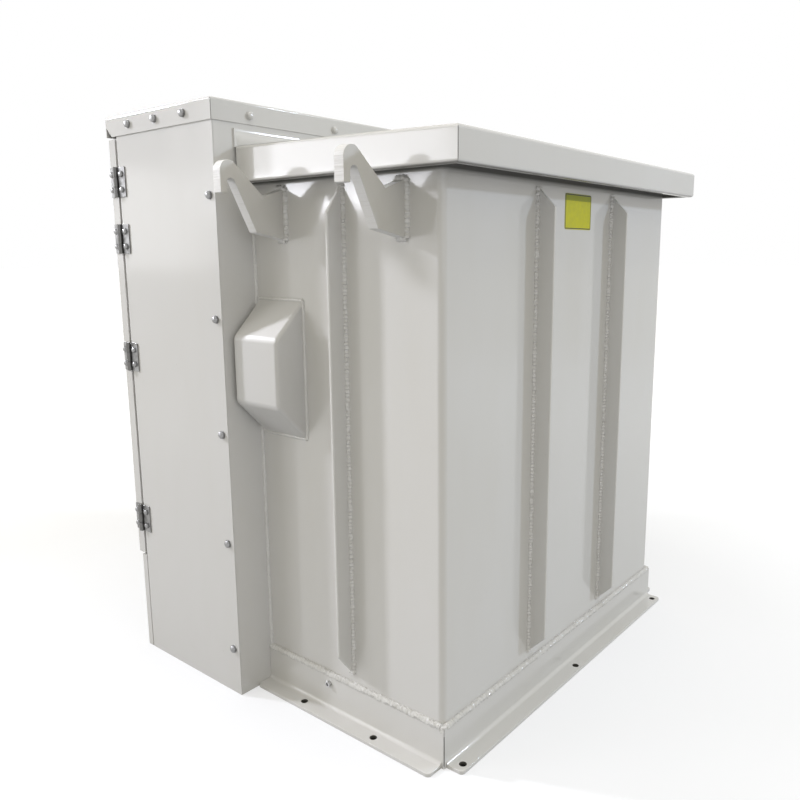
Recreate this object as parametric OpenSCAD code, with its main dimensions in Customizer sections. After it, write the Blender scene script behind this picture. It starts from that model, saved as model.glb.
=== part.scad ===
// Three-phase pad-mounted power transformer: a welded oil tank with ribs, lifting
// hooks and a sloping cover, and a taller cable cabinet with two hinged doors in front.
// Frame: +Z up, origin on the floor under the middle of the overall box, doors facing -Y,
// back of the tank facing +Y. All sizes are millimetres.

/* [Cabinet] */
// Width over the two side panels
cab_w = 1240; // [1020:10:1800]
// Height from the floor to the top of the cap
cab_h = 1400; // [1150:10:2000]
// Depth of the side panels, from the jamb to the back
cab_d = 391; // [280:1:700]
// Thickness of the cabinet sheet
sheet = 3; // [2:0.5:4]
// Outer radius of the bends in the cabinet sheet
bend_r = 5; // [4.5:0.5:8]
// Depth of the downturned edges of the cap
cap_skirt = 47; // [35:1:70]
// Corner cut at the front ends of the side edges of the cap
cap_corner = 22; // [8:1:30]
// Height of the fixed sill under the doors
sill_h = 265; // [120:5:400]
// Depth of the sill in front of the side panels
sill_d = 23; // [15:1:30]
// Width of the turned-in edges of the side panels and the sill
jamb_w = 28; // [18:1:40]
// Depth of the forward edges of the tank front plate
plate_edge = 48; // [35:1:80]

/* [Doors] */
// Depth of the door pans
door_d = 31; // [26:1:45]
// Clear gap round each door
door_gap = 5.5; // [5:0.5:8]
// Width of the return along the back rim of each door pan
door_lip = 14; // [8:1:20]
// Height of the door handle lever
handle_h = 170; // [120:5:220]
// Width of the handle lever
handle_w = 26; // [20:1:36]
// Thickness of the handle lever
handle_t = 8; // [6:1:12]
// Diameter of the handle boss
handle_boss_d = 58; // [44:1:80]
// Clear space behind the handle lever
handle_clear = 26; // [20:1:36]
// Distance from the free edge of the door to the handle boss
handle_inset = 80; // [60:1:140]

/* [Hinges] */
// Height of each butt hinge
hinge_h = 72; // [50:1:90]
// Reach of the leaf on the side panel, from the pin
hinge_panel_leaf = 36; // [28:1:60]
// Reach of the leaf on the door, from the pin
hinge_door_leaf = 28; // [24:1:28]
// Thickness of the hinge leaves
leaf_t = 3; // [2:0.5:4]
// Diameter of the hinge knuckles
knuckle_d = 12; // [10:0.5:16]
// Diameter of the hinge pins
pin_d = 6; // [4:0.5:8]
// Clearance of the turning knuckle round its pin
pin_clear = 0.4; // [0.3:0.1:0.8]
// Gap between neighbouring knuckles and between a knuckle and the other leaf
knuckle_clear = 1; // [0.5:0.1:1.5]
// Distance from each end of the door to the end hinges
hinge_end = 103; // [70:1:160]
// Distance between the two upper hinges
hinge_pair = 138; // [100:1:240]

/* [Tank] */
// Step on each side from the cabinet to the narrower tank
tank_inset = 100; // [60:1:160]
// Depth of the tank behind the cabinet
tank_d = 550; // [400:5:900]
// Thickness of the tank plate
plate_t = 6; // [4:0.5:10]
// Outer radius of the bent corners at the back of the tank
corner_r = 16; // [13:1:40]
// Thickness of the tank floor
floor_t = 10; // [6:1:16]
// Height of the tank floor above the ground
floor_z = 40; // [20:1:70]

/* [Cover] */
// Drop from the top of the cabinet to the front edge of the cover
cover_drop = 96; // [92:1:160]
// Fall of the cover from front to back
cover_fall = 15; // [0:1:30]
// Depth of the downturned edge of the cover at the back
cover_skirt = 66; // [45:1:90]
// Overhang of the cover at the sides of the tank
cover_side = 45; // [30:1:60]
// Overhang of the cover at the back of the tank
cover_back = 68; // [30:1:90]
// Thickness of the cover sheet
cover_t = 4; // [3:0.5:6]
// Outer radius of the bends of the cover
cover_r = 8; // [7:0.5:12]
// Width of the inward return along the lower edge of the cover
cover_lip = 16; // [10:1:24]
// Height of the upturned edge where the cover meets the cabinet
upstand_h = 37; // [25:1:40]
// Gap between the side edges of the cover and the cabinet
skirt_gap = 8; // [5:1:20]

/* [Ribs] */
// Thickness of the stiffening ribs
rib_t = 8; // [6:1:12]
// Depth of the ribs out from the tank wall
rib_d = 45; // [30:1:60]
// Height of the lower end of the ribs
rib_z = 118; // [105:1:200]
// Gap between the upper end of the ribs and the edge of the cover
rib_top_gap = 13; // [5:1:60]
// Length of the sloping ends of the back ribs
back_rib_end = 45; // [20:1:80]
// Distance of the back ribs from the middle of the tank
back_rib_x = 181; // [100:1:300]
// Length of the sloping ends of the side ribs
side_rib_end = 59; // [20:1:80]
// Distance from the cabinet to the side ribs
side_rib_y = 286; // [200:1:320]

/* [Side pockets] */
// Width of each pocket along the tank wall
pocket_w = 150; // [100:1:190]
// Height of each pocket at the tank wall
pocket_h = 315; // [250:1:420]
// Height of the flat outer face of each pocket
pocket_face_h = 150; // [80:1:200]
// Depth of each pocket out from the tank wall
pocket_d = 81; // [50:1:95]
// Distance from the cabinet to the pockets
pocket_gap = 9; // [5:1:20]
// Height of the lower edge of the pockets
pocket_z = 652; // [400:1:700]

/* [Lifting hooks] */
// Thickness of the hook plates
hook_t = 25; // [16:1:32]
// Reach of the hooks out from the tank wall
hook_reach = 167; // [130:1:200]
// Height of the hooks from the lower end of the root to the top of the nose
hook_h = 160; // [140:1:180]
// Height of the hook root along the tank wall
hook_root_h = 112; // [90:1:120]
// Radius over the top of the nose
hook_nose_r = 22; // [16:1:26]
// Thickness of the nose beside the throat
hook_nose_w = 16; // [12:1:20]
// Length of the nose below its top
hook_nose_l = 66; // [50:1:76]
// Radius of the throat
hook_throat_r = 10; // [8:1:13]
// Depth of the throat above the tip of the nose, to its centre
hook_throat_h = 20; // [12:1:28]
// Gap between the hook roots and the edge of the cover
hook_top_gap = 14; // [6:1:40]
// Distance of the hooks from the middle of the tank depth
hook_y = 175; // [120:1:190]

/* [Base angles] */
// Height of the upright leg of the base angles
leg_h = 91; // [60:1:100]
// Width of the foot leg of the base angles
foot_w = 50; // [40:1:80]
// Thickness of the base angles
angle_t = 8; // [6:1:12]
// Radius of the root fillet of the base angles
angle_r = 9; // [4:1:14]
// Gap between the mitred ends of two base angles
mitre_gap = 2; // [0.5:0.5:4]
// Radius at the outer corners of the feet
foot_r = 10; // [4:1:16]
// Diameter of the anchor bolt holes
anchor_d = 16; // [12:1:20]
// Distance of the side anchor holes from the tank wall
side_anchor_out = 29; // [26:1:40]
// Distance of the back anchor holes from the tank wall
back_anchor_out = 34; // [26:1:40]
// Distance of the end holes of the back foot from its ends
anchor_end = 23; // [20:1:60]
// Spacing of the two holes in each side foot
anchor_pitch = 226; // [150:1:400]
// Distance from the cabinet to the middle of the side holes
anchor_y = 262; // [220:1:340]
// Diameter of the earthing bosses
boss_d = 14; // [10:1:24]
// Length of the earthing bosses
boss_l = 8; // [5:1:14]
// Depth of the screw hole in the earthing bosses
boss_hole_l = 6; // [3:1:7]
// Diameter of the screw hole in the earthing bosses
boss_hole_d = 8; // [5:1:9]
// Height of the earthing bosses
boss_z = 70; // [40:1:80]
// Distance from the cabinet to the earthing bosses
boss_y = 216; // [100:1:300]

/* [Terminals] */
// Spacing of the three high-voltage bushings
hv_pitch = 160; // [130:1:180]
// Height of the high-voltage bushings
hv_z = 960; // [700:5:1050]
// Flange diameter of the high-voltage bushings
hv_flange_d = 118; // [90:1:125]
// Thickness of the high-voltage flanges
hv_flange_t = 15; // [10:1:20]
// Diameter of the high-voltage collar behind the cone
hv_collar_d = 86; // [72:1:88]
// Length of the high-voltage bushings from the plate to the end of the collar
hv_collar_l = 63; // [45:1:80]
// Diameter of the high-voltage cone at the collar
hv_cone_d = 68; // [56:1:70]
// Diameter of the high-voltage cone at its tip
hv_tip_d = 45; // [36:1:50]
// Length of the high-voltage bushings
hv_l = 150; // [110:1:200]
// Spacing of the four low-voltage bushings
lv_pitch = 128; // [110:1:140]
// Height of the low-voltage bushings
lv_z = 1010; // [700:5:1100]
// Flange diameter of the low-voltage bushings
lv_flange_d = 96; // [70:1:100]
// Thickness of the low-voltage flanges
lv_flange_t = 14; // [10:1:20]
// Diameter of the low-voltage insulators between their rain skirts
lv_body_d = 64; // [50:1:68]
// Diameter of the rain skirts
lv_skirt_d = 84; // [74:1:92]
// Thickness of each rain skirt at its rim
lv_skirt_t = 6; // [4:1:8]
// Spacing of the rain skirts
lv_skirt_pitch = 28; // [24:1:34]
// Length of the low-voltage bushings
lv_l = 92; // [88:1:120]
// Diameter of the terminal stems
stem_d = 38; // [24:1:44]
// Width of the terminal spades
spade_w = 76; // [60:1:90]
// Length of the terminal spades
spade_l = 105; // [95:1:130]
// Thickness of the terminal spades
spade_t = 12; // [8:1:16]
// Hole diameter of the terminal spades
spade_hole_d = 14; // [11:0.5:16]
// Hole spacing of the terminal spades, both ways
spade_pitch = 44; // [38:1:48]
// Height of the lower edge of the barrier between the two compartments
barrier_z = 120; // [60:5:300]

/* [Hidden] */
$fn = 64;
// Overlap of a cutting shape past the face it opens
cut = 1;

// Distances from the back of the cabinet, forward to the handle and back to the cover
door_back = cab_d + door_gap;
door_front = door_back + door_d;
front_reach = door_front + handle_clear + handle_t;
back_reach = tank_d + cover_back;

// Back face of the cabinet, which is also the front of the tank
rear_y = (front_reach - back_reach) / 2;
jamb_y = rear_y - cab_d;
tank_back_y = rear_y + tank_d;

half_w = cab_w / 2;
tank_half = half_w - tank_inset;
cap_z = cab_h - sheet;
// Top of the panels under the cap, clear of its bends
panel_z = cap_z - bend_r;
skirt_z = cab_h - cap_skirt;

// Doors, between the sill and the edge of the cap
door_z0 = sill_h + door_gap;
door_z1 = skirt_z - door_gap;
door_w = half_w - door_gap / 2;

// Hinge pins stand outside the side panels, over the middle of the door gap
pin_x = half_w + knuckle_d / 2;
pin_y = jamb_y - door_gap / 2;
knuckle_h = (hinge_h - 2 * knuckle_clear) / 3;
hinge_z = [
    door_z0 + hinge_end,
    (door_z0 + door_z1) / 2,
    door_z1 - hinge_end - hinge_pair,
    door_z1 - hinge_end
];

// Cover: level lower edge, sloping top
cover_front_z = cab_h - cover_drop;
cover_back_z = cover_front_z - cover_fall;
cover_edge_z = cover_back_z - cover_skirt;
cover_half = tank_half + cover_side;
slope = cover_fall / back_reach;
cover_tilt = atan(slope);
// Thickness of the sloping sheet measured straight down
cover_down = cover_t / cos(cover_tilt);

// Hooks and ribs hang from the edge of the cover
rib_top_z = cover_edge_z - rib_top_gap;
hook_z = cover_edge_z - hook_top_gap - hook_root_h;
hook_nose_c = [hook_reach - hook_nose_r, hook_h - hook_nose_r];
hook_tip_v = hook_h - hook_nose_l;
hook_throat_c = [hook_reach - hook_nose_w - hook_throat_r, hook_tip_v + hook_throat_h];
// Outer end of the sloping lower edge of the root, and the notch behind the nose
hook_heel = [81, 16];
hook_notch = [59, 90];

// Colours
paint = "#c9c9c4";
paint_dark = "#b4b3ac";
stainless = "#b9bcc0";
porcelain = "#8a8f93";
tinned = "#c3bda9";
epoxy = "#5d4334";

// Point where the line from q touches the circle round c, on the left seen from q
function tangent_point(q, c, r) =
    let (away = q - c, angle = atan2(away[1], away[0]) - acos(r / norm(away)))
    c + r * [cos(angle), sin(angle)];

// Box from one corner to the opposite one
module span(a, b) {
    translate(a) cube(b - a);
}

module left_hand() {
    mirror([1, 0, 0]) children();
}

// Rectangle with its two upper corners rounded
module crowned_outline(size, r) {
    square([size[0], size[1] - r]);
    translate([r, 0]) square([size[0] - 2 * r, size[1]]);
    for (x = [r, size[0] - r])
        translate([x, size[1] - r]) circle(r);
}

// Block with bends round the four edges of its upper face and sharp welded corners
module bent_block(a, b, r) {
    size = b - a;
    translate(a)
        intersection() {
            rotate([90, 0, 90])
                linear_extrude(size[0]) crowned_outline([size[1], size[2]], r);
            translate([0, size[1], 0])
                rotate([90, 0, 0])
                    linear_extrude(size[1]) crowned_outline([size[0], size[2]], r);
        }
}

// The same block between corners a and b with its bent face turned to the front
module bent_front(a, b, r) {
    size = b - a;
    translate([a[0], b[1], a[2]])
        rotate([90, 0, 0])
            bent_block([0, 0, 0], [size[0], size[2], size[1]], r);
}

// Tank: one plate bent round the two back corners, its upper edge cut to the cover's slope
module tank_outline(inset, r) {
    back = tank_d - inset;
    half = tank_half - inset;
    translate([-half, -cut]) square([2 * half, back - r + cut]);
    translate([r - half, back - r - cut]) square([2 * (half - r), r + cut]);
    for (side = [-1, 1])
        translate([side * (half - r), back - r]) circle(r);
}

module tank_wrapper() {
    color(paint)
    difference() {
        translate([0, rear_y, 0])
            linear_extrude(cover_front_z)
                difference() {
                    tank_outline(0, corner_r);
                    tank_outline(plate_t, corner_r - plate_t);
                }
        span([-half_w, rear_y - 2 * cut, -cut], [half_w, rear_y, cab_h]);
        cover_slope(-cover_down, cab_h);
    }
}

// Prism over the tank between two heights above the sloping face of the cover
module cover_slope(low, high) {
    top = cover_front_z;
    translate([-cab_w, 0, 0])
        rotate([90, 0, 90])
            linear_extrude(2 * cab_w)
                polygon([
                    [rear_y - cut, top + cut * slope + low],
                    [rear_y + back_reach + cut, top - (back_reach + cut) * slope + low],
                    [rear_y + back_reach + cut, top + high],
                    [rear_y - cut, top + high]
                ]);
}

module tank_front_plate() {
    inner = half_w - sheet;
    color(paint) {
        span([-inner, rear_y - plate_t, 0], [inner, rear_y, panel_z]);
        for (side = [0, 1])
            mirror([side, 0, 0])
                span([inner - plate_t, rear_y - plate_edge, 0], [inner, rear_y - plate_t, panel_z]);
    }
}

module tank_floor() {
    inner = tank_half - plate_t;
    deep = tank_back_y - plate_t;
    r = corner_r - plate_t;
    color(paint_dark)
    translate([0, 0, floor_z])
        linear_extrude(floor_t)
            intersection() {
                translate([0, rear_y]) tank_outline(plate_t, r);
                translate([-inner, rear_y]) square([2 * inner, deep - rear_y]);
            }
}

// Outer form of the cover, inset by a sheet: sloping top, bends along the sides and the back
module cover_form(inset, r, low) {
    back_y = rear_y + back_reach - inset;
    half = cover_half - inset;
    deep = cover_front_z - low + cover_fall;
    bend = [back_y - r, cover_front_z - (back_y - r - rear_y) * slope - (inset + r) / cos(cover_tilt)];
    front = [rear_y - cut, cover_front_z + cut * slope - inset / cos(cover_tilt)];
    intersection() {
        translate([-cab_w, 0, 0])
            rotate([90, 0, 90])
                linear_extrude(2 * cab_w) {
                    polygon([
                        [front[0], low],
                        [back_y, low],
                        [back_y, bend[1]],
                        bend + r * [sin(cover_tilt), cos(cover_tilt)],
                        front
                    ]);
                    translate(bend) circle(r);
                }
        translate([0, rear_y, cover_front_z])
            rotate([-cover_tilt, 0, 0])
                translate([-half, 2 * back_reach, -inset - deep])
                    rotate([90, 0, 0])
                        linear_extrude(3 * back_reach) crowned_outline([2 * half, deep], r);
    }
}

// Cover: folded sheet with a return along its lower edge and an upturned front edge
module tank_cover() {
    inner = cover_half - cover_t;
    lip = cover_half - cover_lip;
    back_y = rear_y + back_reach;
    color(paint) {
        difference() {
            cover_form(0, cover_r, cover_edge_z);
            cover_form(cover_t, cover_r - cover_t, cover_edge_z + cover_t);
            span([-lip, rear_y - cut, cover_edge_z - cut],
                 [lip, back_y - cover_lip, cover_edge_z + cover_t + cut]);
            span([-cab_w, rear_y - 2 * cut, cover_edge_z - cut], [cab_w, rear_y, cab_h]);
            for (side = [0, 1])
                mirror([side, 0, 0])
                    difference() {
                        span([lip - cut, rear_y - cut, cover_edge_z - cut],
                             [cover_half + cut, rear_y + skirt_gap, cab_h]);
                        cover_slope(-cover_down, cab_h);
                    }
        }
        span([-cover_half, rear_y, cover_front_z - cover_down],
             [cover_half, rear_y + cover_t, cover_front_z + upstand_h]);
    }
}

// Rib: flat bar on edge with its ends cut off at a slope, standing out along +X
module rib(end_l) {
    rotate([90, 0, 0])
        linear_extrude(rib_t, center = true)
            polygon([
                [0, rib_z],
                [rib_d, rib_z + end_l],
                [rib_d, rib_top_z - end_l],
                [0, rib_top_z]
            ]);
}

module back_rib_right() {
    color(paint) translate([back_rib_x, tank_back_y, 0]) rotate([0, 0, 90]) rib(back_rib_end);
}

module back_rib_left() {
    left_hand() back_rib_right();
}

module side_rib_right() {
    color(paint) translate([tank_half, rear_y + side_rib_y, 0]) rib(side_rib_end);
}

module side_rib_left() {
    left_hand() side_rib_right();
}

// Pocket: folded sheet box with sloping upper and lower faces, welded on the side wall
module pocket_right() {
    ramp = (pocket_h - pocket_face_h) / 2;
    color(paint)
    translate([tank_half, rear_y + pocket_gap + pocket_w, pocket_z])
        rotate([90, 0, 0])
            linear_extrude(pocket_w)
                polygon([
                    [0, 0],
                    [pocket_d, ramp],
                    [pocket_d, ramp + pocket_face_h],
                    [0, pocket_h]
                ]);
}

module pocket_left() {
    left_hand() pocket_right();
}

// Hook: heavy plate cut with an upturned nose and a round throat that opens downward
module hook_outline() {
    throat_side = hook_throat_c + [hook_throat_r, 0];
    difference() {
        union() {
            polygon([
                [0, 0],
                hook_heel,
                tangent_point(hook_heel, hook_throat_c, hook_throat_r),
                throat_side,
                [throat_side[0], hook_tip_v],
                [hook_reach, hook_tip_v],
                [hook_reach, hook_nose_c[1]],
                tangent_point(hook_notch, hook_nose_c, hook_nose_r),
                hook_notch,
                [0, hook_root_h]
            ]);
            translate(hook_nose_c) circle(hook_nose_r);
        }
        translate(hook_throat_c) circle(hook_throat_r);
    }
}

module lifting_hook(from_middle) {
    color(paint)
    translate([tank_half, rear_y + tank_d / 2 + from_middle, hook_z])
        rotate([90, 0, 0])
            linear_extrude(hook_t, center = true)
                hook_outline();
}

module lifting_hook_front_right() {
    lifting_hook(-hook_y);
}

module lifting_hook_back_right() {
    lifting_hook(hook_y);
}

module lifting_hook_front_left() {
    left_hand() lifting_hook(-hook_y);
}

module lifting_hook_back_left() {
    left_hand() lifting_hook(hook_y);
}

// Base angle along +X from 0 to its length, standing out along +Y: rolled angle with a root
// fillet and rounded foot corners. The ends named as mitred run past the corner of the tank.
module base_angle(length, mitre_start, mitre_end) {
    held_back = mitre_gap / 2 * sqrt(2);
    from = mitre_start ? held_back : 0;
    to = mitre_end ? length - held_back : length;
    linear_extrude(leg_h)
        polygon([
            [from, 0],
            [to, 0],
            [mitre_end ? to + angle_t : to, angle_t],
            [mitre_start ? from - angle_t : from, angle_t]
        ]);
    linear_extrude(angle_t) {
        square([length, foot_w - foot_r]);
        translate([foot_r, 0]) square([length - 2 * foot_r, foot_w]);
        for (x = [foot_r, length - foot_r])
            translate([x, foot_w - foot_r]) circle(foot_r);
    }
    translate([0, angle_t, angle_t])
        rotate([90, 0, 90])
            linear_extrude(length)
                difference() {
                    translate([-cut, -cut]) square(angle_r + cut);
                    translate([angle_r, angle_r]) circle(angle_r);
                }
}

module anchor_hole(x, out) {
    translate([x, out, -cut]) cylinder(h = angle_t + 2 * cut, d = anchor_d);
}

module base_angle_back() {
    length = 2 * tank_half;
    color(paint)
    translate([-tank_half, tank_back_y, 0])
        difference() {
            base_angle(length, true, true);
            for (x = [anchor_end, length / 2, length - anchor_end])
                anchor_hole(x, back_anchor_out);
        }
}

module base_angle_right() {
    color(paint)
    translate([tank_half, tank_back_y, 0])
        rotate([0, 0, -90])
            difference() {
                base_angle(tank_d, true, false);
                for (side = [-1, 1])
                    anchor_hole(tank_d - anchor_y + side * anchor_pitch / 2, side_anchor_out);
            }
}

module base_angle_left() {
    left_hand() base_angle_right();
}

module ground_boss_right() {
    color(stainless)
    translate([tank_half + angle_t, rear_y + boss_y, boss_z])
        rotate([0, 90, 0])
            difference() {
                cylinder(h = boss_l, d = boss_d);
                translate([0, 0, boss_l - boss_hole_l]) cylinder(h = boss_l, d = boss_hole_d);
            }
}

module ground_boss_left() {
    left_hand() ground_boss_right();
}

// Plan of the inside of the front corner of a side panel, inset by a sheet
module jamb_corner(inset, r) {
    x = half_w - inset;
    y = jamb_y + inset;
    low_x = half_w - jamb_w - inset;
    translate([low_x, y + r]) square([x - low_x, cab_d + inset - r]);
    translate([low_x, y]) square([x - r - low_x, 2 * r]);
    translate([x - r, y + r]) circle(r);
}

// Cabinet side: flat sheet with its front edge bent in to make the door jamb
module cabinet_side_right() {
    color(paint)
    linear_extrude(panel_z)
        intersection() {
            difference() {
                jamb_corner(0, bend_r);
                jamb_corner(sheet, bend_r - sheet);
            }
            translate([half_w - jamb_w, jamb_y]) square([jamb_w, cab_d]);
        }
}

module cabinet_side_left() {
    left_hand() cabinet_side_right();
}

// Cap: tray turned upside down over the cabinet and the heads of the doors
module cabinet_cap() {
    outer = half_w + sheet;
    front_y = rear_y - door_front;
    back_y = rear_y + sheet;
    color(paint)
    difference() {
        bent_block([-outer, front_y, skirt_z], [outer, back_y, cab_h], bend_r);
        bent_block([-half_w, front_y + sheet, skirt_z - cut], [half_w, rear_y, cap_z], bend_r - sheet);
        for (side = [0, 1])
            mirror([side, 0, 0])
                translate([half_w, front_y + sheet, skirt_z])
                    rotate([90, 0, 90])
                        linear_extrude(sheet + cut)
                            polygon([[0, -cut], [cap_corner + cut, -cut], [0, cap_corner]]);
    }
}

// Sill: front sheet with its top and ends bent back to the side panels
module cabinet_sill() {
    front_y = jamb_y - sill_d;
    inner = half_w - sheet;
    below = -2 * bend_r;
    color(paint)
    difference() {
        bent_front([-half_w, front_y, below], [half_w, jamb_y, sill_h], bend_r);
        bent_front([-inner, front_y + sheet, below - cut],
                   [inner, jamb_y + cut, sill_h - sheet], bend_r - sheet);
        span([-cab_w, front_y - cut, below - cut], [cab_w, jamb_y + cut, 0]);
    }
}

// Barrier: upright sheet between the two compartments, its back edge turned to the plate
module compartment_barrier() {
    front_y = jamb_y + sheet + jamb_w;
    color(paint_dark) {
        span([-sheet / 2, front_y, barrier_z], [sheet / 2, rear_y - plate_t, cap_z]);
        span([-jamb_w, rear_y - plate_t - sheet, barrier_z], [-sheet / 2, rear_y - plate_t, panel_z]);
    }
}

// Places the children at each of a row of points on the front plate, facing -Y
module on_front_plate(middle, z, count, pitch) {
    for (i = [0 : count - 1])
        translate([middle + (i - (count - 1) / 2) * pitch, rear_y - plate_t, z])
            rotate([90, 0, 0]) children();
}

// High-voltage bushing: moulded flange, collar and tapered cone for a cable elbow
module hv_bushings() {
    color(epoxy)
    on_front_plate(-half_w / 2, hv_z, 3, hv_pitch)
        rotate_extrude()
            polygon([
                [0, 0],
                [hv_flange_d / 2, 0],
                [hv_flange_d / 2, hv_flange_t],
                [hv_collar_d / 2, hv_flange_t + (hv_flange_d - hv_collar_d) / 2],
                [hv_collar_d / 2, hv_collar_l],
                [hv_cone_d / 2, hv_collar_l + (hv_collar_d - hv_cone_d) / 2],
                [hv_tip_d / 2, hv_l],
                [0, hv_l]
            ]);
}

// Low-voltage bushing: turned insulator with two rain skirts
module lv_bushings() {
    r = lv_body_d / 2;
    out = (lv_skirt_d - lv_body_d) / 2;
    first = lv_flange_t + (lv_flange_d - lv_body_d) / 2 + lv_skirt_t;
    color(porcelain)
    on_front_plate(half_w / 2, lv_z, 4, lv_pitch)
        rotate_extrude()
            polygon(concat(
                [[0, 0], [lv_flange_d / 2, 0], [lv_flange_d / 2, lv_flange_t]],
                [[r, lv_flange_t + (lv_flange_d - lv_body_d) / 2]],
                [for (at = [first, first + lv_skirt_pitch], step = [
                    [r, 0], [r + out, out], [r + out, out + lv_skirt_t], [r, out + 2 * lv_skirt_t]
                ]) step + [0, at]],
                [[r, lv_l], [0, lv_l]]
            ));
}

// Terminal spade: upright flat pad with four holes, on a round stem out of its bushing
module lv_spades() {
    stem = spade_l - spade_w;
    color(tinned)
    on_front_plate(half_w / 2, lv_z, 4, lv_pitch)
        translate([0, 0, lv_l]) {
            cylinder(h = stem, d = stem_d);
            difference() {
                translate([-spade_t / 2, -spade_w / 2, stem]) cube([spade_t, spade_w, spade_w]);
                for (a = [-1, 1], b = [-1, 1])
                    translate([0, a * spade_pitch / 2, stem + (spade_w + b * spade_pitch) / 2])
                        rotate([0, 90, 0])
                            cylinder(h = spade_t + 2 * cut, d = spade_hole_d, center = true);
            }
        }
}

// Hinge leaf on the +Y side of its pin, with the knuckles of the named thirds of its height
module hinge_leaf(reach, thirds) {
    r = knuckle_d / 2;
    pitch = knuckle_h + knuckle_clear;
    span([-r, r + knuckle_clear, -hinge_h / 2], [leaf_t - r, reach, hinge_h / 2]);
    for (third = thirds)
        translate([0, 0, third * pitch - knuckle_h / 2]) {
            cylinder(h = knuckle_h, d = knuckle_d);
            span([-r, 0, 0], [leaf_t - r, r + knuckle_clear, knuckle_h]);
        }
}

module at_hinges() {
    for (z = hinge_z)
        translate([pin_x, pin_y, z]) children();
}

module hinge_leaves_right() {
    color(stainless)
    at_hinges() {
        hinge_leaf(hinge_panel_leaf, [-1, 1]);
        cylinder(h = hinge_h, d = pin_d, center = true);
    }
}

module hinge_leaves_left() {
    left_hand() hinge_leaves_right();
}

module door_hinge_leaves_right() {
    color(stainless)
    at_hinges()
        difference() {
            mirror([0, 1, 0]) hinge_leaf(hinge_door_leaf, [0]);
            cylinder(h = hinge_h, d = pin_d + 2 * pin_clear, center = true);
        }
}

module door_hinge_leaves_left() {
    left_hand() door_hinge_leaves_right();
}

// Door: shallow pan, open at the back, with a narrow return round its back rim
module door_right() {
    front_y = rear_y - door_front;
    back_y = rear_y - door_back;
    inner_x = half_w - door_w;
    rim = sheet + door_lip;
    color(paint)
    difference() {
        bent_front([inner_x, front_y, door_z0], [half_w, back_y, door_z1], bend_r);
        bent_front([inner_x + sheet, front_y + sheet, door_z0 + sheet],
                   [half_w - sheet, back_y - sheet, door_z1 - sheet], bend_r - sheet);
        span([inner_x + rim, front_y + sheet, door_z0 + rim],
             [half_w - rim, back_y + cut, door_z1 - rim]);
    }
}

module door_left() {
    left_hand() door_right();
}

// Handle: lever hanging from a round boss near the free edge of the right-hand door
module door_handle() {
    x = half_w - door_w + handle_inset;
    z = (door_z0 + door_z1) / 2;
    lever_z = handle_h - handle_w;
    color(stainless)
    translate([x, rear_y - door_front, z])
        rotate([90, 0, 0]) {
            cylinder(h = handle_t, d = handle_boss_d);
            cylinder(h = handle_clear + handle_t, d = handle_w);
            translate([0, 0, handle_clear])
                linear_extrude(handle_t) {
                    translate([-handle_w / 2, -lever_z]) square([handle_w, lever_z]);
                    translate([0, -lever_z]) circle(handle_w / 2);
                }
        }
}

tank_wrapper();
tank_front_plate();
tank_floor();
tank_cover();
back_rib_right();
back_rib_left();
side_rib_right();
side_rib_left();
pocket_right();
pocket_left();
lifting_hook_front_right();
lifting_hook_back_right();
lifting_hook_front_left();
lifting_hook_back_left();
base_angle_back();
base_angle_right();
base_angle_left();
ground_boss_right();
ground_boss_left();
cabinet_side_right();
cabinet_side_left();
cabinet_cap();
cabinet_sill();
compartment_barrier();
hv_bushings();
lv_bushings();
lv_spades();
hinge_leaves_right();
hinge_leaves_left();
door_right();
door_left();
door_hinge_leaves_right();
door_hinge_leaves_left();
door_handle();
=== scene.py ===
import math

import bmesh
import bpy
from mathutils import Matrix, Vector, noise


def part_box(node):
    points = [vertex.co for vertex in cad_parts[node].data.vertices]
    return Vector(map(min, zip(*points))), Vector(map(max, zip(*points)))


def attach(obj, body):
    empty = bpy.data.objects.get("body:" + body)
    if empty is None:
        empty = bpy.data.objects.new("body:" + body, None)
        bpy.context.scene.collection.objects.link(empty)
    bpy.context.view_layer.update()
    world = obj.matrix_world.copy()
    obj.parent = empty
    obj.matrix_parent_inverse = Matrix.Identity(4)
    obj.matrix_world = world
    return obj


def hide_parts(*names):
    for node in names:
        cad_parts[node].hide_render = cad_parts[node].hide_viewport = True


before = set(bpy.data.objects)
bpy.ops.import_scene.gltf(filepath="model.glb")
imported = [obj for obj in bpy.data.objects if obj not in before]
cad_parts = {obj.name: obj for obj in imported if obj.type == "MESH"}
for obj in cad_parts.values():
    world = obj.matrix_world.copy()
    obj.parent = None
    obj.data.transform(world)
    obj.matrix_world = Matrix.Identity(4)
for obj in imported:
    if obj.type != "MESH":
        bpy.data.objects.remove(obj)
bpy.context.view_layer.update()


# Tank: one steel plate bent round the two back corners, closed at the front by a flat plate that
# is also the back of the cabinet, and below by a floor plate. The seams are welded and the whole
# tank is sprayed in pale grey gloss paint.

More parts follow.
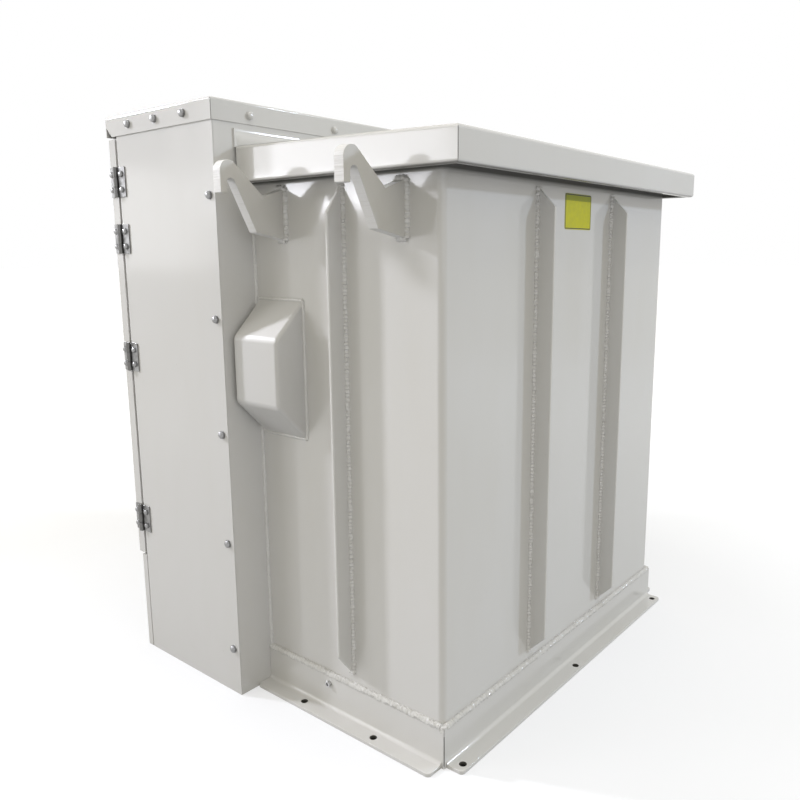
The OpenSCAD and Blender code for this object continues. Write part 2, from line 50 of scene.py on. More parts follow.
class Wire:
    """A socket of a material's node tree that can be used in sums."""

    def __init__(self, tree, socket=None):
        self.tree = tree
        self.socket = socket

    def node(self, kind, settings=None, sockets=None, out=0):
        """The wire from a new node, whose settings are made before its sockets."""
        made = self.tree.nodes.new("ShaderNode" + kind)
        for name, value in (settings or {}).items():
            setattr(made, name, value)
        for name, value in (sockets or {}).items():
            if isinstance(value, Wire):
                self.tree.links.new(value.socket, made.inputs[name])
            else:
                made.inputs[name].default_value = value
        return Wire(self.tree, made.outputs[out])

    def maths(self, operation, first, second):
        return self.node("Math", {"operation": operation}, {0: first, 1: second})

    def __add__(self, other):
        return self.maths("ADD", self, other)

    def __sub__(self, other):
        return self.maths("SUBTRACT", self, other)

    def __rsub__(self, other):
        return self.maths("SUBTRACT", other, self)

    def __mul__(self, other):
        return self.maths("MULTIPLY", self, other)

    __radd__ = __add__
    __rmul__ = __mul__

    def __abs__(self):
        return self.node("Math", {"operation": "ABSOLUTE"}, {0: self})

    def most(self, other):
        """The larger of two values."""
        return self.maths("MAXIMUM", self, other)

    def along(self, axis):
        """The X, Y or Z of a vector."""
        return self.node("SeparateXYZ", {}, {0: self}, out=axis)

    def between(self, low, high):
        """Clamped rise from 0 at low to 1 at high."""
        return self.node("MapRange", {}, {"Value": self, "From Min": low, "From Max": high})

    def blend(self, first, second):
        """Colour that goes from first to second as this value goes from 0 to 1."""
        return self.node("Mix", {"data_type": "RGBA"}, {0: self, 6: first, 7: second}, out=2)


def start_finish(name):
    """A new material, its shader and the object coordinates that its patterns read."""
    finish = bpy.data.materials.new(name)
    finish.use_nodes = True
    shader = finish.node_tree.nodes["Principled BSDF"]
    place = Wire(finish.node_tree).node("TexCoord", out="Object")
    return finish, shader, place


def grain(place, scale, detail=2.0, stretch=(1.0, 1.0, 1.0)):
    """Noise from 0 to 1 whose spots are about 1 / scale metres wide."""
    drawn = place.node("Mapping", {}, {"Vector": place, "Scale": stretch})
    return place.node("TexNoise", {}, {"Vector": drawn, "Scale": scale, "Detail": detail})


def plug(shader, **wires):
    """Links each wire to the shader's socket of that name, with spaces for underscores."""
    for name, wire in wires.items():
        wire.tree.links.new(wire.socket, shader.inputs[name.replace("_", " ")])


def grey(value, warm=0.0):
    """A neutral linear colour, warmed by taking a share out of its blue."""
    return (value * (1 + warm / 3), value, value * (1 - warm), 1.0)


def relief(place, height):
    """A normal that follows a height in metres."""
    return place.node("Bump", {}, {"Height": height, "Strength": 1.0, "Distance": 1.0})


def sprayed_paint(name, tone, wave, gloss=0.08, dark_seams_and_painted_shade=None):
    """Gloss paint on wavy steel sheet; the darkening argument maps a place to its share of dark
    colour, which is dark seams in some uses and painted shade in others.
    """
    finish, shader, place = start_finish(name)
    drift = grain(place, 1.6, 3.0).between(0.3, 0.7)
    film = grain(place, 7.0, 6.0, (1.0, 1.0, 0.22)).between(0.48, 0.78)
    cells = place.node("TexVoronoi", {}, {"Vector": place, "Scale": 34.0})
    speck = 1 - cells.between(0.018, 0.035)
    rare = grain(place, 5.0, 1.0).between(0.58, 0.62)
    colour = drift.blend(grey(tone * 0.965, 0.03), grey(tone, 0.015))
    colour = (film * 0.16).blend(colour, grey(tone * 0.80, 0.12))
    colour = (speck * rare * 0.55).blend(colour, grey(tone * 0.42, 0.15))
    # Darkening: real dark seams for the cap, painted shade inside the cover, under it and in the
    # anchor holes.
    if dark_seams_and_painted_shade:
        colour = dark_seams_and_painted_shade(place).blend(colour, grey(tone * 0.12, 0.1))
    peel = grain(place, 430.0, 1.0) * 0.000012 + grain(place, 2.4, 1.0) * wave
    plug(
        shader,
        Base_Color=colour,
        Roughness=gloss + film * 0.12 + drift * 0.03,
        Normal=relief(place, peel),
    )
    return finish


smooth_turn = math.radians(38)


def piece(name, shape, finish, body="transformer"):
    """Makes an object of a finished bmesh and sets it on its body."""
    mesh = bpy.data.meshes.new(name)
    shape.to_mesh(mesh)
    shape.free()
    mesh.shade_smooth()
    mesh.set_sharp_from_angle(angle=smooth_turn)
    mesh.materials.append(finish)
    made = bpy.data.objects.new(name, mesh)
    bpy.context.scene.collection.objects.link(made)
    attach(made, body)
    return made


merged = 0.00005
touching = 0.000002
flat_turn = math.radians(0.2)
sharp_turn = math.radians(28)


def eased(
    node, radius, finish, body="transformer", segments=2,
    leave=None, fold=None, fold_radius=0.0
):
    """Stands for a CAD node: a copy with its outer edges rounded over, and its folds more."""
    shape = bmesh.new()
    shape.from_mesh(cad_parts[node].data)
    bmesh.ops.remove_doubles(shape, verts=shape.verts, dist=merged)
    bmesh.ops.dissolve_limit(
        shape, angle_limit=flat_turn, verts=shape.verts, edges=shape.edges
    )
    if fold:
        bmesh.ops.bevel(
            shape, geom=[e for e in shape.edges if fold(e)], offset=fold_radius,
            offset_type="OFFSET", segments=4, profile=0.5, affect="EDGES", material=-1
        )
    outer = [e for e in shape.edges if e.is_manifold and e.is_convex]
    sharp = [e for e in outer if e.calc_face_angle() > sharp_turn]
    if leave:
        sharp = [e for e in sharp if not leave(e)]
    bmesh.ops.bevel(
        shape, geom=sharp, offset=radius, offset_type="OFFSET", segments=segments,
        profile=0.5, affect="EDGES", material=-1
    )
    bmesh.ops.remove_doubles(shape, verts=shape.verts, dist=touching)
    made = piece(node + "_finished", shape, finish, body)
    made.modifiers.new("flat_faces", "WEIGHTED_NORMAL").keep_sharp = True
    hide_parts(node)


plate_round = 0.0008
tank_tone = 0.60
tank_wave = 0.0011
cover_low, cover_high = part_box("tank_cover")


def painted_shade_behind_cover(place):
    """Painted shade on the wall above the lower rim of the cover, inside its overhang."""
    return 0.8 * place.along("Z").between(cover_low.z - 0.004, cover_low.z + 0.002)


tank_paint = sprayed_paint("tank_gloss_paint", tank_tone, tank_wave)
# The wall's paint carries painted shade inside the cover's overhang.
wall_paint = sprayed_paint("tank_wall_paint", tank_tone, tank_wave, dark_seams_and_painted_shade=painted_shade_behind_cover)
eased("tank_wrapper", plate_round, wall_paint)
eased("tank_front_plate", plate_round, tank_paint)
eased("tank_floor", plate_round, tank_paint)


# Front seams: fillet welds run by hand up the corners between the side walls and the front plate,
# then painted over with the tank.

tank_low, tank_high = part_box("tank_wrapper")
angle_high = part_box("base_angle_back")[1]
front_bead = 0.0052
ripple_pitch = 0.0085
ring_step = 0.0021


def bead(group, start, end, radius, roughness=1.0):
    """Adds a weld bead to a group: a closed round bar with stacked ripples and uneven toes."""
    run = end - start
    steps = max(4, round(run.length / ring_step))
    bar = bmesh.new()
    bmesh.ops.create_cone(
        bar, cap_ends=True, segments=10, radius1=radius, radius2=radius, depth=run.length
    )
    along = [e for e in bar.edges if abs(e.verts[0].co.z - e.verts[1].co.z) > run.length / 2]
    bmesh.ops.subdivide_edges(bar, edges=along, cuts=steps - 1, use_grid_fill=True)
    seed = Vector((
        start.x * 31 + end.y * 17, start.y * 29 + end.z * 13, start.z * 23 + end.x * 19
    ))
    for vert in bar.verts:
        uneven = 0.7 * noise.noise(seed + Vector((0, 0, vert.co.z * 25)))
        gone = vert.co.z / ripple_pitch + uneven
        crest = 1 - (gone % 1.0) ** 2
        lump = noise.noise(seed + vert.co * 140)
        swell = 1 + roughness * (0.20 * (crest - 0.6) + 0.17 * lump)
        vert.co.x *= swell
        vert.co.y *= swell
    turn = run.to_track_quat("Z", "Y").to_matrix().to_4x4()
    bar.transform(Matrix.Translation((start + end) / 2) @ turn)
    part = bpy.data.meshes.new("bead")
    bar.to_mesh(part)
    bar.free()
    group.from_mesh(part)
    bpy.data.meshes.remove(part)


seams = bmesh.new()
for side in (-1, 1):
    foot = Vector((side * tank_high.x, tank_low.y, angle_high.z))
    bead(seams, foot, Vector((foot.x, foot.y, cover_low.z)), front_bead)
piece("front_seam_welds", seams, tank_paint)


# Cover: one folded sheet with downturned edges, a return along their lower rim and an upturned
# front edge against the cabinet. It is bolted over the tank from inside the cabinet.

rim_fold = 0.007
rim_near = 0.0005
front_reach = 0.012
seam_in = 0.0017
seam_out = 0.0009


def seam_line(place, x, y):
    """A ground corner seam: the upright corner lines at x and -x, both at y."""
    across = abs(place.along("X")).between(x - seam_in, x - seam_out)
    return across * place.along("Y").between(y - seam_in, y - seam_out)


def cover_painted_shade_and_seams(place):
    """Painted shade on the downward faces, and dark ground seams in the upright corners."""
    under = 1 - place.node("NewGeometry", out="Normal").along("Z").between(-0.8, -0.4)
    return 0.8 * under.most(seam_line(place, cover_high.x, cover_high.y))


def lower_rim(edge):
    """The folds along the foot of the downturned edges."""
    ends = [v.co for v in edge.verts]
    low_down = all(p.z < cover_low.z + rim_near for p in ends)
    on_side = all(abs(p.x) > cover_high.x - rim_near for p in ends)
    on_back = all(p.y > cover_high.y - rim_near for p in ends)
    return low_down and (on_side or on_back)


def front_end(edge):
    """The ends of the folds against the cabinet, too close together to round."""
    return all(v.co.y < cover_low.y + front_reach for v in edge.verts)


# The cover's paint carries painted shade on its underside as well as dark corner seams.
cover_paint = sprayed_paint("cover_gloss_paint", tone=0.61, wave=0.0016, dark_seams_and_painted_shade=cover_painted_shade_and_seams)
eased(
    "tank_cover", plate_round, cover_paint,
    leave=front_end, fold=lower_rim, fold_radius=rim_fold
)


# Ribs: flat bars on edge with sloping ends, fillet welded to the back and side walls along both
# faces to stop the tank from bulging.

rib_round = 0.0026
rib_bead = 0.0058
rib_rough = 2.0
ribs = bmesh.new()
for node in ("back_rib_right", "back_rib_left", "side_rib_right", "side_rib_left"):
    eased(node, rib_round, tank_paint, segments=3)
    low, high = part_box(node)
    for face in (-1, 1):
        if node.startswith("back"):
            x = high.x if face > 0 else low.x
            root = Vector((x, tank_high.y, 0))
        else:
            y = high.y if face > 0 else low.y
            root = Vector((math.copysign(tank_high.x, low.x), y, 0))
        foot = root + Vector((0, 0, low.z))
        head = root + Vector((0, 0, high.z))
        bead(ribs, foot, head, rib_bead, rib_rough)
piece("rib_welds", ribs, tank_paint)


# Side pockets: folded sheet boxes with sloping upper and lower faces, seam welded to the side
# walls. They give room for a fitting inside the tank.

pocket_fold = 0.009
wall_near = 0.001
seam_bead = 0.0042
seam_rough = 0.6
# Painted shade: the pockets get a darker copy of the tank's paint, standing in for the shade they
# sit in.
pocket_paint_with_painted_shade = sprayed_paint("pocket_paint_with_painted_shade", tone=0.54, wave=0.0008, gloss=0.42)
pocket_seams = bmesh.new()
for node, side in (("pocket_right", 1), ("pocket_left", -1)):
    wall_x = side * tank_high.x

    def on_wall(edge):
        """The edges that the seam weld covers."""
        return all(abs(v.co.x - wall_x) < wall_near for v in edge.verts)

    eased(node, pocket_fold, pocket_paint_with_painted_shade, segments=4, leave=on_wall)
    low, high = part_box(node)
    corners = [
        Vector((wall_x, low.y, low.z)), Vector((wall_x, high.y, low.z)),
        Vector((wall_x, high.y, high.z)), Vector((wall_x, low.y, high.z)),
    ]
    for start, end in zip(corners, corners[1:] + corners[:1]):
        bead(pocket_seams, start, end, seam_bead, seam_rough)
piece("pocket_welds", pocket_seams, tank_paint)


# Lifting hooks: heavy plate flame-cut to a hook with a downturned nose, welded upright on the side
# walls. The cut edges keep fine drag lines across their thickness under the paint.

def flame_cut_paint(name, tone):
    """The tank's paint over plate whose cut edges carry drag lines across the thickness; the flat
    faces are darkened as painted shade and the cut edges lightened as painted light.
    """
    finish, shader, place = start_finish(name)
    edge = 1 - abs(place.node("NewGeometry", out="Normal").along("Y")).between(0.3, 0.6)
    drag = grain(place, 1.0, 2.0, (420.0, 14.0, 420.0))
    drift = grain(place, 14.0, 4.0).between(0.3, 0.7)
    # Painted shade on the flat faces and painted light on the cut edges: two tones of one paint,
    # set by which way a face points.
    flat_face_shade = drift.blend(grey(tone * 0.86, 0.06), grey(tone * 0.90, 0.045))
    cut = drift.blend(grey(tone * 1.02, 0.03), grey(tone * 1.06, 0.015))
    colour = edge.blend(flat_face_shade, cut)
    colour = (edge * drag.between(0.5, 0.8) * 0.4).blend(colour, grey(tone * 0.7, 0.1))
    height = edge * drag * 0.0008 + grain(place, 430.0, 1.0) * 0.000012
    plug(
        shader,
        Base_Color=colour,
        Roughness=0.30 + edge * 0.16 + drift * 0.06,
        Normal=relief(place, height),
    )
    return finish


hook_paint = flame_cut_paint("flame_cut_paint", tank_tone)
hook_round = 0.0013
hook_bead = 0.0068
hook_rough = 1.5
hook_root = 0.112
hooks = bmesh.new()
for node in (
    "lifting_hook_front_right", "lifting_hook_back_right",
    "lifting_hook_front_left", "lifting_hook_back_left",
):
    eased(node, hook_round, hook_paint)
    low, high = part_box(node)
    wall_x = math.copysign(tank_high.x, low.x)
    foot = [Vector((wall_x, y, low.z)) for y in (low.y, high.y)]
    head = [point + Vector((0, 0, hook_root)) for point in foot]
    for start, end in (*zip(foot, head), foot, head):
        bead(hooks, start, end, hook_bead, hook_rough)
piece("hook_welds", hooks, tank_paint)


# Base angles: rolled steel angles welded round the foot of the tank by one long bead along the top
# of the upright leg. Their feet carry the anchor bolt holes.

angle_round = 0.0009
mitre_reach = 0.014
base_bead = 0.0074
base_rough = 1.3
bead_out = 0.0022
end_in = 0.004
corner_bead = 0.0072
corner_rough = 1.2
corner_out = 0.001
corner_drop = 0.016
corner_rise = 0.004
anchor_r = 0.008
anchors = ((0.549, 0.07075), (0.549, 0.29675), (0.497, 0.50575), (0.0, 0.50575))


def from_upright(place, x, y):
    """Distance from the nearer of the upright lines at x and -x, both at y."""
    across = abs(place.along("X")) - x
    deep = place.along("Y") - y
    return place.node("Math", {"operation": "SQRT"}, {0: across * across + deep * deep})


def anchor_hole_painted_shade(place):
    """Painted shade on the walls of the anchor holes, darkened to stand in for the shade inside
    them.
    """
    outer = [
        from_upright(place, x, y).between(anchor_r + 0.0002, anchor_r + 0.0006) for x, y in anchors
    ]
    return 0.95 * sum(1 - away for away in outer)


def in_mitre(edge):
    """The short edges where two angles meet at a corner of the tank."""
    return all(
        abs(abs(v.co.x) - tank_high.x) < mitre_reach and abs(v.co.y - tank_high.y) < mitre_reach
        for v in edge.verts
    )


# The base angles' paint carries painted shade in the anchor holes.
base_paint = sprayed_paint("base_gloss_paint", tank_tone, tank_wave, dark_seams_and_painted_shade=anchor_hole_painted_shade)
for node in ("base_angle_back", "base_angle_right", "base_angle_left"):
    eased(node, angle_round, base_paint, leave=in_mitre)
base_seams = bmesh.new()
top_z = angle_high.z
for side in (-1, 1):
    x = side * (tank_high.x + bead_out)
    start = Vector((x, tank_low.y, top_z))
    end = Vector((x, tank_high.y - end_in, top_z))
    bead(base_seams, start, end, base_bead, base_rough)
start = Vector((-tank_high.x + end_in, tank_high.y + bead_out, top_z))
end = Vector((tank_high.x - end_in, tank_high.y + bead_out, top_z))
bead(base_seams, start, end, base_bead, base_rough)
for side in (-1, 1):
    corner = Vector((side * (tank_high.x + corner_out), tank_high.y + corner_out, top_z))
    start = corner + Vector((0, 0, -corner_drop))
    end = corner + Vector((0, 0, corner_rise))
    bead(base_seams, start, end, corner_bead, corner_rough)
piece("base_welds", base_seams, tank_paint)


# Earthing bosses: short round stainless bars, each with a hole for an earthing screw. They are
# welded to the upright legs of the side angles and left bare, so that a clamp makes contact.

def bare_steel(name, tone, rough):
    """Bare metal with fine rolling lines and smears of handling."""
    finish, shader, place = start_finish(name)
    lines = grain(place, 1.0, 3.0, (60.0, 60.0, 1600.0))
    smear = grain(place, 45.0, 4.0).between(0.35, 0.7)
    colour = smear.blend(grey(tone * 0.82, 0.02), grey(tone, 0.0))
    plug(
        shader,
        Base_Color=colour,
        Roughness=rough + lines * 0.12 + smear * 0.08,
        Normal=relief(place, lines * 0.00003),
    )
    shader.inputs["Metallic"].default_value = 1.0
    return finish


stainless = bare_steel("bare_stainless", tone=0.60, rough=0.22)
boss_round = 0.0006
for node in ("ground_boss_right", "ground_boss_left"):
    eased(node, boss_round, stainless)


# Cabinet: folded sheet side panels and sill bolted to the front plate, under a cap folded like a
# tray. The two compartments are parted by an upright barrier sheet.

sheet_round = 0.0006
cap_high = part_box("cabinet_cap")[1]
cabinet_paint = sprayed_paint("cabinet_gloss_paint", tone=0.56, wave=0.0034, gloss=0.12)


def cap_seams(place):
    """Grime in the corner seams of the cap."""
    return 0.75 * seam_line(place, cap_high.x, cap_high.y)


cap_paint = sprayed_paint("cap_gloss_paint", tone=0.575, wave=0.0024, dark_seams_and_painted_shade=cap_seams)
for node in ("cabinet_side_right", "cabinet_side_left", "cabinet_sill", "compartment_barrier"):
    eased(node, sheet_round, cabinet_paint)
eased("cabinet_cap", sheet_round, cap_paint)


# Cabinet bolts: round-headed steel bolts along the edges of the cap and up the back edges of the
# side panels, each on a washer.

axis_near = 0.000001


def turned(profile, steps=18):
    """A round shape: a profile of (radius, height) points from axis to axis, spun round Z."""
    shape = bmesh.new()
    line = [shape.verts.new((radius, 0.0, height)) for radius, height in profile]
    edges = [shape.edges.new(pair) for pair in zip(line, line[1:])]
    bmesh.ops.spin(
        shape, geom=line + edges, cent=(0, 0, 0), axis=(0, 0, 1),
        angle=2 * math.pi, steps=steps, use_merge=True
    )
    bmesh.ops.remove_doubles(shape, verts=shape.verts, dist=axis_near)
    bmesh.ops.recalc_face_normals(shape, faces=shape.faces)
    mesh = bpy.data.meshes.new("turned")
    shape.to_mesh(mesh)
    shape.free()
    return mesh


def set_out(group, mesh, places, outward):
    """Adds a copy of a mesh to a group at each place, its +Z turned outward."""
    turn = Vector(outward).to_track_quat("Z", "Y").to_matrix().to_4x4()
    for place in places:
        mesh.transform(Matrix.Translation(place) @ turn)
        group.from_mesh(mesh)
        mesh.transform((Matrix.Translation(place) @ turn).inverted())


def round_head(radius, height):
    """Profile of a domed bolt head on its washer."""
    washer_r = radius * 1.12
    washer_t = height * 0.18
    dome = [
        (radius * math.cos(a), washer_t + height * (0.3 + 0.7 * math.sin(a)))
        for a in [math.radians(15 * i) for i in range(6)]
    ]
    top = [(0.0, washer_t + height)]
    return [(0.0, 0.0), (washer_r, 0.0), (washer_r, washer_t), (radius, washer_t)] + dome + top


bolt_steel = bare_steel("bolt_steel", tone=0.32, rough=0.30)
side_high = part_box("cabinet_side_right")[1]
cabinet_bolt = turned(round_head(radius=0.0086, height=0.0078))
cap_bolt_y = (-0.4037, -0.291, -0.178)
cap_bolt_z = 1.376
rear_bolt_x = (-0.5205, -0.257, 0.0, 0.257, 0.5205)
rear_bolt_z = 1.372
panel_bolt_y = -0.099
panel_bolt_z = (0.117, 0.388, 0.655, 0.923, 1.196)
bolts = bmesh.new()
for side in (-1, 1):
    cap = [Vector((side * cap_high.x, y, cap_bolt_z)) for y in cap_bolt_y]
    panel = [Vector((side * side_high.x, panel_bolt_y, z)) for z in panel_bolt_z]
    set_out(bolts, cabinet_bolt, cap + panel, (side, 0, 0))
piece("cabinet_bolts", bolts, bolt_steel)
rear_bolts = bmesh.new()
rear = [Vector((x, cap_high.y, rear_bolt_z)) for x in rear_bolt_x]
set_out(rear_bolts, cabinet_bolt, rear, (0, 1, 0))
piece("cap_rear_bolts", rear_bolts, cabinet_paint)


# Bushings: three moulded epoxy cones for the high-voltage elbows and four glazed insulators that
# carry the tinned low-voltage spades, all clamped to the front plate.

def moulded(name, colour, rough, depth):
    """A moulded or glazed insulator with a faint mottle."""
    finish, shader, place = start_finish(name)
    mottle = grain(place, 60.0, 5.0).between(0.3, 0.7)
    dark = tuple(0.78 * c for c in colour) + (1.0,)
    plug(
        shader,
        Base_Color=mottle.blend(dark, colour + (1.0,)),
        Roughness=rough + mottle * 0.10,
        Normal=relief(place, mottle * depth),
    )
    return finish


epoxy = moulded("moulded_epoxy", (0.14, 0.065, 0.04), rough=0.38, depth=0.00006)
glaze = moulded("grey_glaze", (0.30, 0.33, 0.35), rough=0.10, depth=0.00002)
tinned = bare_steel("tinned_terminal", tone=0.58, rough=0.36)
bushing_round = 0.002
spade_round = 0.0012
eased("hv_bushings", bushing_round, epoxy, segments=3)
eased("lv_bushings", bushing_round, glaze, segments=3)
eased("lv_spades", spade_round, tinned)
clamp_screw = turned(round_head(radius=0.0048, height=0.005), steps=14)
clamps = bmesh.new()
for node, flange_t, circle_r, count in (
    ("hv_bushings", 0.015, 0.0512, 3),
    ("lv_bushings", 0.014, 0.0420, 4),
):
    low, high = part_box(node)
    flange_r = (high.z - low.z) / 2
    pitch = (high.x - low.x - 2 * flange_r) / (count - 1)
    for row in range(count):
        x = low.x + flange_r + row * pitch
        middle = Vector((x, high.y - flange_t, (low.z + high.z) / 2))
        ring = [
            middle + circle_r * Vector((math.cos(a), 0, math.sin(a)))
            for a in [math.radians(45 + 90 * i) for i in range(4)]
        ]
        set_out(clamps, clamp_screw, ring, (0, -1, 0))
piece("bushing_clamp_screws", clamps, bolt_steel)


# Hinges: stainless butt hinges, four to a door, pressed from sheet and rolled round a pin. The
# panel leaf and the door leaf are each held by two round-headed screws.

leaf_round = 0.0005
leaf_t = 0.003
knuckle_r = 0.006
hinge_half = 0.036
top_pair_gap = 0.138
hinge_low, hinge_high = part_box("hinge_leaves_right")
door_low, door_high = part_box("door_right")
hinge_z = (
    hinge_low.z + hinge_half,
    (door_low.z + door_high.z) / 2,
    hinge_high.z - hinge_half - top_pair_gap,
    hinge_high.z - hinge_half,
)
pin_y = hinge_low.y + knuckle_r
leaf_x = side_high.x + leaf_t
pin_x = leaf_x + leaf_t


def hinge_steel(name):
    """Stainless sheet, dull from handling, with a dark oiled barrel round the pin."""
    finish, shader, place = start_finish(name)
    oiled = 1 - from_upright(place, pin_x, pin_y).between(knuckle_r + 0.0002, knuckle_r + 0.0014)
    lines = grain(place, 1.0, 3.0, (90.0, 90.0, 1500.0))
    smear = grain(place, 70.0, 4.0).between(0.35, 0.7)
    colour = smear.blend(grey(0.20, 0.03), grey(0.34, 0.01))
    plug(
        shader,
        Base_Color=(oiled * 0.8).blend(colour, grey(0.13, 0.05)),
        Roughness=0.30 + lines * 0.12 + smear * 0.08,
        Normal=relief(place, lines * 0.00004),
    )
    shader.inputs["Metallic"].default_value = 1.0
    return finish


hinge_screw = turned(round_head(radius=0.0072, height=0.0056), steps=16)
screw_up = 0.0185
panel_screw = 0.022
door_screw = 0.0185
hinge_finish = hinge_steel("hinge_stainless")
for hand, side in (("right", 1), ("left", -1)):
    eased("hinge_leaves_" + hand, leaf_round, hinge_finish)
    eased("door_hinge_leaves_" + hand, leaf_round, hinge_finish, hand + "_door")
    for name, y, body in (
        ("panel_hinge_screws_", pin_y + panel_screw, "transformer"),
        ("door_hinge_screws_", pin_y - door_screw, hand + "_door"),
    ):
        screws = bmesh.new()
        places = [
            Vector((side * leaf_x, y, z + up)) for z in hinge_z for up in (-screw_up, screw_up)
        ]
        set_out(screws, hinge_screw, places, (side, 0, 0))
        piece(name + hand, screws, bolt_steel, body)


# Doors: shallow pans folded from steel sheet and sprayed like the cabinet, hung on hinge leaves
# along their outer edges. The right-hand door carries a stainless lever handle on a back plate.

handle_round = 0.0016
eased("door_right", sheet_round, cabinet_paint, "right_door")
eased("door_left", sheet_round, cabinet_paint, "left_door")
eased("door_handle", handle_round, stainless, "right_door", segments=3)


# Plate: a thin sheet with round corners, printed yellow with a darker head band and a border line,
# and stuck flat to the back wall between the ribs. It is left blank.

plate_w = 0.128
plate_h = 0.082
plate_t = 0.0008
plate_corner = 0.006
plate_middle = Vector((-0.003, tank_high.y, 1.163))
band_h = 0.016


def printed_plate(name):
    """Yellow ink with a darker band along the top, slightly uneven."""
    finish, shader, place = start_finish(name)
    edge = plate_middle.z + plate_h / 2 - band_h
    band = place.along("Z").between(edge - 0.0004, edge + 0.0004)
    across = abs(place.along("X") - plate_middle.x) - plate_w / 2
    tall = abs(place.along("Z") - plate_middle.z) - plate_h / 2
    inside = across.most(tall)
    frame_line = inside.between(-0.0038, -0.0034) * (1 - inside.between(-0.0016, -0.0012))
    ink = grain(place, 90.0, 4.0).between(0.3, 0.7)
    yellow = ink.blend((0.48, 0.47, 0.006, 1.0), (0.55, 0.53, 0.01, 1.0))
    ground = (band * 0.85).blend(yellow, (0.26, 0.30, 0.01, 1.0))
    plug(shader, Base_Color=frame_line.blend(ground, grey(0.05)), Roughness=0.34 + ink * 0.12)
    shader.inputs["Specular IOR Level"].default_value = 0.25
    return finish


plate = bmesh.new()
bmesh.ops.create_cube(plate, size=1.0)
plate.transform(
    Matrix.Translation(plate_middle + Vector((0, plate_t / 2, 0)))
    @ Matrix.Diagonal((plate_w, plate_t, plate_h, 1.0))
)
upright = [e for e in plate.edges if abs(e.verts[0].co.y - e.verts[1].co.y) > plate_t / 2]
bmesh.ops.bevel(
    plate, geom=upright, offset=plate_corner, segments=5,
    profile=0.5, affect="EDGES", material=-1
)
piece("blank_plate", plate, printed_plate("yellow_plate"))


# Studio: a wide pale floor under a white surround. Window lamps off the cabinet's side show in the
# gloss paint, and a small key lamp, a broad fill, one lamp behind the tank and one overhead light
# the other faces.

foot_in = 0.002
corner_in = 0.012
foot_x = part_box("base_angle_right")[1].x - foot_in
foot_y = angle_high.y - foot_in
corner_x = tank_high.x - corner_in
corner_y = tank_high.y - corner_in
floor_half = 60.0
floor_glow = 0.78
near_glow = 0.66
glow_from = 1.0
glow_to = 3.2


def seen_or_mirrored(start):
    """1 for rays that show the background: to the camera, or by way of a mirror or glass."""
    kinds = ("Camera", "Glossy", "Transmission")
    seen, mirrored, through = [start.node("LightPath", out=f"Is {kind} Ray") for kind in kinds]
    return seen.most(mirrored).most(through)


def short_of(value, limit):
    """1 below a limit and 0 above it."""
    return 1 - value.between(limit - 0.001, limit)


def pale_floor(name):
    """Matt pale floor, lit up to white far from the object, with painted shade under its foot:
    dark and unlit there.
    """
    finish, shader, place = start_finish(name)
    mottle = grain(place, 3.0, 4.0)
    shader.inputs["Roughness"].default_value = 0.9
    shader.inputs["Specular IOR Level"].default_value = 0.1
    x = abs(place.along("X"))
    y = place.along("Y")
    side_foot = short_of(x, foot_x) * short_of(y, corner_y)
    back_foot = short_of(x, corner_x) * short_of(y, foot_y)
    # Painted shade: the floor under the foot is dark and gets no glow.
    painted_shade_under_foot = side_foot.most(back_foot) * y.between(-0.001, 0.0)
    colour = mottle.blend(grey(0.42, -0.05), grey(0.44, -0.05))
    plug(shader, Base_Color=painted_shade_under_foot.blend(colour, grey(0.02)))
    shown = seen_or_mirrored(place) * (1 - painted_shade_under_foot)
    reach = place.node("VectorMath", {"operation": "LENGTH"}, {0: place}, out="Value")
    glow = reach.between(glow_from, glow_to).blend(grey(near_glow), grey(1.0))
    plug(shader, Emission_Color=shown.blend(grey(0.0), glow))
    shader.inputs["Emission Strength"].default_value = floor_glow
    return finish


floor_shape = bmesh.new()
bmesh.ops.create_grid(floor_shape, x_segments=4, y_segments=4, size=floor_half)
floor_mesh = bpy.data.meshes.new("floor")
floor_shape.to_mesh(floor_mesh)
floor_shape.free()
floor_mesh.materials.append(pale_floor("pale_floor"))
floor = bpy.data.objects.new("floor", floor_mesh)
bpy.context.scene.collection.objects.link(floor)

world = bpy.data.worlds.new("studio")
bpy.context.scene.world = world
world.use_nodes = True
surround_level = 0.66
surround_warm = 0.17
shown = seen_or_mirrored(Wire(world.node_tree))
surround = shown.blend(grey(surround_level, surround_warm), grey(1.0))
plug(world.node_tree.nodes["Background"], Color=surround)


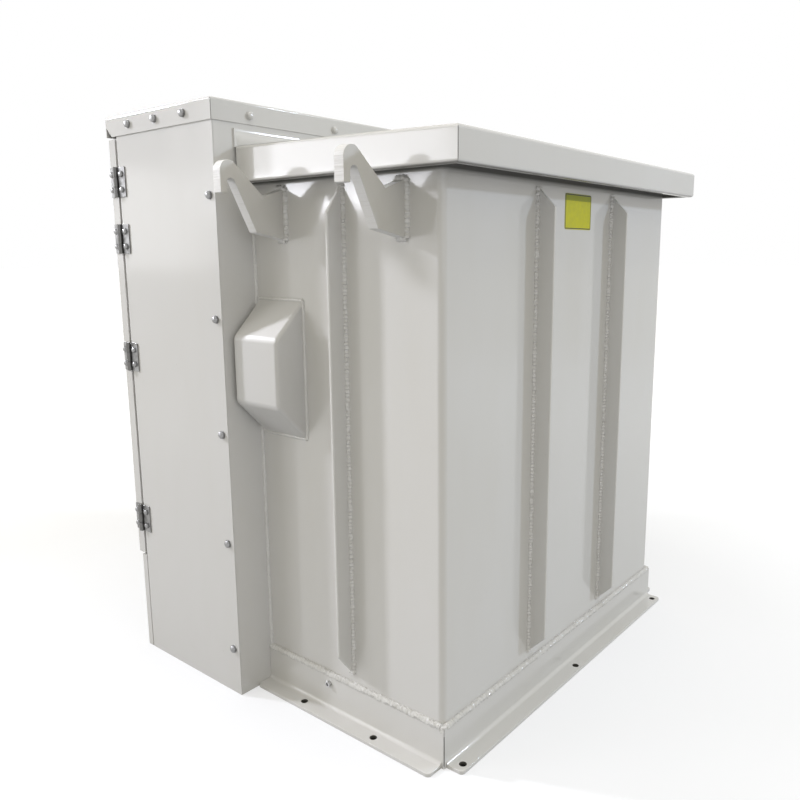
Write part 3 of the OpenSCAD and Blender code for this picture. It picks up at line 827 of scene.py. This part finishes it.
def lamp(name, place, target, wide, tall, power, spread=180, tint=(1.0, 1.0, 1.0)):
    """A soft lamp at a place, pointing at a target."""
    light = bpy.data.lights.new(name, "AREA")
    light.shape = "RECTANGLE"
    light.size = wide
    light.size_y = tall
    light.energy = power
    light.color = tint
    light.spread = math.radians(spread)
    made = bpy.data.objects.new(name, light)
    made.location = place
    made.rotation_euler = (Vector(target) - Vector(place)).to_track_quat("-Z", "Y").to_euler()
    made.visible_camera = False
    bpy.context.scene.collection.objects.link(made)


window_tint = (0.97, 0.98, 1.05)
lamp("key_lamp", (2.10, -3.48, 2.8), (1.05, 0.38, 0.95), 0.3, 0.3, 19, 60, (0.96, 0.97, 1.07))
lamp("near_window", (3.27, -4.49, 1.35), (0.62, -0.25, 1.2), 0.96, 0.8, 4)
lamp("far_window", (4.25, -3.28, 2.16), (0.565, 0.1, 2.16), 1.85, 1.0, 31, tint=window_tint)
lamp("low_window", (4.25, -3.28, 1.545), (0.565, 0.1, 1.545), 1.85, 0.23, 17, tint=window_tint)
lamp("back_lamp", (-4.0, 4.6, 3.55), (0.0, 0.47, 0.8), 0.36, 0.36, 112, tint=(0.86, 0.98, 1.2))
lamp("fill_lamp", (2.6, 4.4, 2.0), (0.2, 0.2, 0.7), 3.0, 2.4, 23, tint=(0.95, 0.99, 1.12))
lamp("top_lamp", (0.4, 0.6, 5.0), (0.0, 0.0, 0.6), 3.0, 3.0, 60)


# Camera: at the height of a person's chest, off the back corner on the low-voltage side, with a
# slightly wide lens and a small shift that sets the framing.

camera_place = Vector((1.6564, 1.3517, 1.0677))
aim_distance = 2.2
camera_aim = camera_place + aim_distance * Vector((-0.76724, -0.61567, -0.17968))
camera_roll = -0.0040
focal_px = 758.6
centre_px = (430.2, 392.1)
image_px = 800
camera_data = bpy.data.cameras.new("camera")
camera_data.sensor_width = 36.0
camera_data.lens = focal_px / image_px * camera_data.sensor_width
camera_data.shift_x = (image_px / 2 - centre_px[0]) / image_px
camera_data.shift_y = (centre_px[1] - image_px / 2) / image_px
camera = bpy.data.objects.new("camera", camera_data)
level = (camera_aim - camera_place).to_track_quat("-Z", "Y").to_matrix().to_4x4()
roll = Matrix.Rotation(camera_roll, 4, "Z")
camera.matrix_world = Matrix.Translation(camera_place) @ level @ roll
bpy.context.scene.collection.objects.link(camera)
bpy.context.scene.camera = camera
bpy.context.scene.view_settings.view_transform = "Standard"
